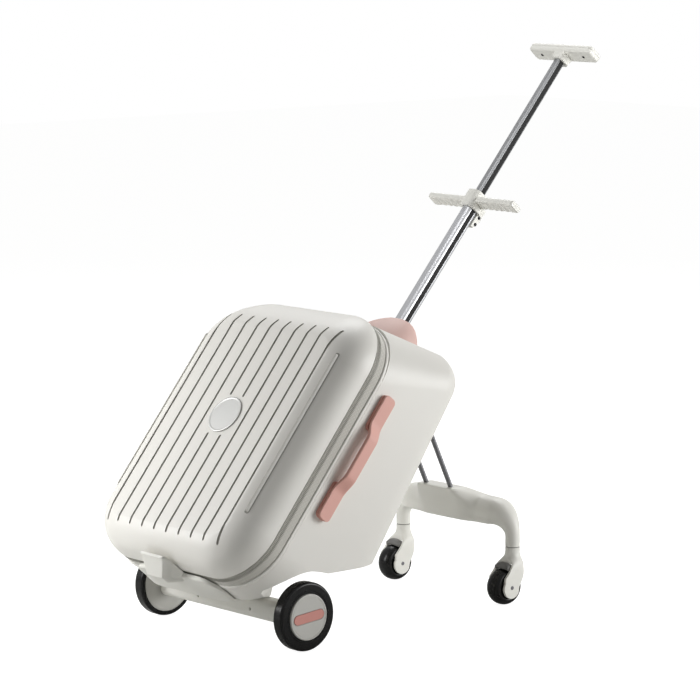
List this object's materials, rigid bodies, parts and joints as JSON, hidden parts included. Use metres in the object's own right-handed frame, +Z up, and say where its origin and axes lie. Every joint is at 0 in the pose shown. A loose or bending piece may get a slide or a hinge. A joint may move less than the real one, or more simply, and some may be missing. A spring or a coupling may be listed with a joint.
{
  "type": "child's ride-on suitcase stroller",
  "caption": "Hard-shell child's ride-on suitcase leaning on large rear wheels and a fold-out caster leg, with saddle, handlebar and telescopic pull handle.",
  "frame": {"origin": "centre of the footprint box, on the ground", "axes": "+X is the direction of travel, towards the casters; +Y is the side with the lid hinges, away from the side handle; +Z is up"},
  "size_m": [0.8708, 0.392, 0.8671],
  "materials": {
    "white_shell": "satin moulded shell",
    "warm_white_moulding": "fine moulded grain",
    "satin_plate": "brushed plate",
    "grey_zip": "woven tape with coil teeth",
    "pink_moulding": "satin",
    "pink_saddle": "soft-touch moulded",
    "black_tyre": "smooth",
    "anodised_tube": "anodised",
    "dark_steel": "dark drawn steel",
    "grey_moulding": "plain"
  },
  "bodies": {
    "case": {"back_shell": "white_shell", "case_rim": "white_shell", "zip_tape_case": "grey_zip", "hinge_case_lower": "grey_moulding", "hinge_case_upper": "grey_moulding", "hinge_pin_lower": "dark_steel", "hinge_pin_upper": "dark_steel", "base": "warm_white_moulding", "stand_foot": "warm_white_moulding", "axle_beam": "warm_white_moulding", "axle_pin_near": "dark_steel", "axle_pin_far": "dark_steel", "pole_sleeve": "grey_moulding", "saddle_pan": "grey_moulding", "saddle": "pink_saddle", "handle_grip": "pink_moulding", "handle_pad_lower": "pink_moulding", "handle_pad_upper": "pink_moulding", "leg_mount": "warm_white_moulding", "leg_pin": "dark_steel"},
    "lid": {"front_shell": "white_shell", "lid_trim": "grey_moulding", "zip_tape_lid": "grey_zip", "badge_plate": "satin_plate", "hinge_lid_lower": "grey_moulding", "hinge_lid_upper": "grey_moulding"},
    "leg": {"leg_crosshead": "grey_moulding", "strut_near": "dark_steel", "strut_far": "dark_steel", "leg_bracket": "warm_white_moulding"},
    "caster_near": {"fork_near": "warm_white_moulding", "kingpin_near": "dark_steel", "swivel_washer_near": "grey_moulding", "fender_near": "grey_moulding", "caster_axle_near": "dark_steel"},
    "caster_wheel_near": {"caster_tyre_near": "black_tyre", "caster_hub_near": "grey_moulding"},
    "rear_wheel_near": {"tyre_near": "black_tyre", "hub_near": "white_shell", "hub_accent_near": "pink_moulding"},
    "caster_far": {"fork_far": "warm_white_moulding", "kingpin_far": "dark_steel", "swivel_washer_far": "grey_moulding", "fender_far": "grey_moulding", "caster_axle_far": "dark_steel"},
    "caster_wheel_far": {"caster_tyre_far": "black_tyre", "caster_hub_far": "grey_moulding"},
    "rear_wheel_far": {"tyre_far": "black_tyre", "hub_far": "white_shell", "hub_accent_far": "pink_moulding"},
    "pole_lower_stage": {"pole_lower": "anodised_tube", "handlebar_clamp": "warm_white_moulding", "handlebar_near": "warm_white_moulding", "handlebar_far": "warm_white_moulding"},
    "pole_upper_stage": {"pole_upper": "anodised_tube", "t_handle_lower": "warm_white_moulding", "t_handle_upper": "warm_white_moulding"},
    "button": {"release_button": "grey_moulding"}
  },
  "joints": [
    {"name": "lid_hinge", "type": "hinge", "parent": "case", "child": "lid", "pos_m": [-0.37611, 0.19235, 0.131], "axis": [-0.632, 0, -0.7749], "range_deg": [0, 105]},
    {"name": "leg_fold", "type": "hinge", "parent": "case", "child": "leg", "pos_m": [0.06661, 0.00435, 0.34158], "axis": [0, 1, 0], "range_deg": [0, 50]},
    {"name": "rear_wheel_near_spin", "type": "hinge", "parent": "case", "child": "rear_wheel_near", "pos_m": [-0.27924, -0.17445, 0.052], "axis": [0, 1, 0], "continuous": true},
    {"name": "rear_wheel_far_spin", "type": "hinge", "parent": "case", "child": "rear_wheel_far", "pos_m": [-0.27924, 0.18315, 0.052], "axis": [0, 1, 0], "continuous": true},
    {"name": "caster_near_swivel", "type": "hinge", "parent": "leg", "child": "caster_near", "pos_m": [0.18676, -0.12365, 0.0905], "axis": [0, 0, 1], "continuous": true},
    {"name": "caster_wheel_near_spin", "type": "hinge", "parent": "caster_near", "child": "caster_wheel_near", "pos_m": [0.16826, -0.12365, 0.0287], "axis": [0, 1, 0], "continuous": true},
    {"name": "caster_far_swivel", "type": "hinge", "parent": "leg", "child": "caster_far", "pos_m": [0.18676, 0.13235, 0.0905], "axis": [0, 0, 1], "continuous": true},
    {"name": "caster_wheel_far_spin", "type": "hinge", "parent": "caster_far", "child": "caster_wheel_far", "pos_m": [0.16826, 0.13235, 0.0287], "axis": [0, 1, 0], "continuous": true},
    {"name": "pole_lower_slide", "type": "slide", "parent": "case", "child": "pole_lower_stage", "axis": [0.6554, 0, 0.7553], "range_m": [-0.17, 0]},
    {"name": "pole_upper_slide", "type": "slide", "parent": "pole_lower_stage", "child": "pole_upper_stage", "axis": [0.6554, 0, 0.7553], "range_m": [-0.265, 0]},
    {"name": "release_button_press", "type": "slide", "parent": "pole_upper_stage", "child": "button", "axis": [-0.6554, 0, -0.7553], "range_m": [0, 0.0028], "stiffness_N_per_m": 400, "springref_m": -0.001}
  ]
}
